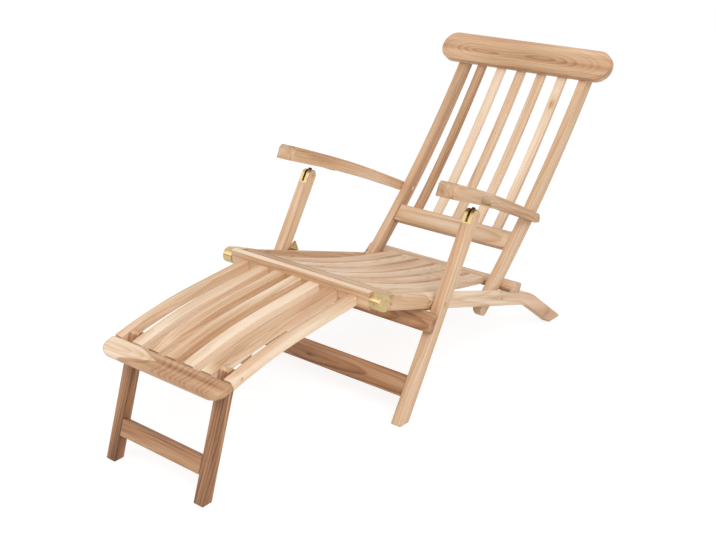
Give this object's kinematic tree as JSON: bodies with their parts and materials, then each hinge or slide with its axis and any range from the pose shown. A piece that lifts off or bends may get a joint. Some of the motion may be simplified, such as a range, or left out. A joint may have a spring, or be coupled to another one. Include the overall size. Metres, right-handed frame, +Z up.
{
  "type": "folding deck lounge chair",
  "caption": "Slatted teak steamer deck chair with reclining curved back, cambered arms, folding leg frame and a hinged footrest on its own folding legs.",
  "frame": {"origin": "under the middle of the chair, on the floor it stands on", "axes": "+Z up; -Y is the way the sitter's feet point, so the footrest is at -Y and the headrest at +Y; +X is the sitter's left side"},
  "size_m": [0.6, 1.6224, 0.7929],
  "materials": {
    "teak": "pale unfinished teak, satin",
    "brass": "polished brass",
    "iron": "dark oiled"
  },
  "bodies": {
    "seat_frame": {"seat_rail_left": "teak", "seat_rail_right": "teak", "seat_front_rail": "teak", "seat_rear_rail": "teak", "seat_slat_1": "teak", "seat_slat_2": "teak", "seat_slat_3": "teak", "seat_slat_4": "teak", "seat_slat_5": "teak", "seat_slat_6": "teak", "hinge_cap_left": "brass", "hinge_cap_right": "brass", "leg_bolt_left": "brass", "leg_bolt_right": "brass", "back_bolt_left": "brass", "back_bolt_right": "brass"},
    "leg_frame": {"leg_left": "teak", "leg_right": "teak", "leg_upper_stretcher": "teak", "leg_lower_stretcher": "teak", "saddle_plate_left": "brass", "saddle_plate_right": "brass", "arm_catch_left": "iron", "arm_catch_right": "iron", "fork_pin_left": "brass", "fork_pin_right": "brass", "stop_plate_left": "brass", "stop_plate_right": "brass"},
    "back_frame": {"back_stile_left": "teak", "back_stile_right": "teak", "back_lower_rail": "teak", "headrest": "teak", "back_slat_1": "teak", "back_slat_2": "teak", "back_slat_3": "teak", "back_slat_4": "teak", "back_slat_5": "teak", "arm_bolt_left": "brass", "arm_bolt_right": "brass"},
    "left_arm": {"arm_left": "teak", "arm_rack_left": "brass"},
    "right_arm": {"arm_right": "teak", "arm_rack_right": "brass"},
    "footrest_frame": {"footrest_rear_rail": "teak", "footrest_rail_left": "teak", "footrest_rail_right": "teak", "footrest_slat_1": "teak", "footrest_slat_2": "teak", "footrest_slat_3": "teak", "footrest_slat_4": "teak", "footrest_slat_5": "teak", "footrest_end_board": "teak", "footrest_hinge_pin_left": "brass", "footrest_hinge_pin_right": "brass"},
    "footrest_legs": {"footrest_leg_left": "teak", "footrest_leg_right": "teak", "footrest_stretcher": "teak", "footrest_leg_pin_left": "brass", "footrest_leg_pin_right": "brass"}
  },
  "joints": [
    {"name": "recline", "type": "hinge", "parent": "seat_frame", "child": "back_frame", "pos_m": [0, 0.26048, 0.1723], "axis": [1, 0, 0], "range_deg": [0, 14]},
    {"name": "arm_left_slide", "type": "hinge", "parent": "back_frame", "child": "left_arm", "pos_m": [0, 0.4571, 0.35724], "axis": [1, 0, 0], "range_deg": [-10.89, 0.5]},
    {"name": "arm_right_slide", "type": "hinge", "parent": "back_frame", "child": "right_arm", "pos_m": [0, 0.4571, 0.35724], "axis": [1, 0, 0], "range_deg": [-10.89, 0.5]},
    {"name": "leg_fold", "type": "hinge", "parent": "seat_frame", "child": "leg_frame", "pos_m": [0, -0.06569, 0.27514], "axis": [1, 0, 0], "range_deg": [0, 91]},
    {"name": "footrest_fold", "type": "hinge", "parent": "seat_frame", "child": "footrest_frame", "pos_m": [0, -0.28409, 0.344], "axis": [1, 0, 0], "range_deg": [-10, 65]},
    {"name": "footrest_leg_fold", "type": "hinge", "parent": "footrest_frame", "child": "footrest_legs", "pos_m": [0, -0.70019, 0.28651], "axis": [1, 0, 0], "range_deg": [0, 85]}
  ],
  "couplings": [
    {"joint": "arm_left_slide", "follows": "recline", "ratio": -0.7425},
    {"joint": "arm_right_slide", "follows": "recline", "ratio": -0.7425}
  ]
}
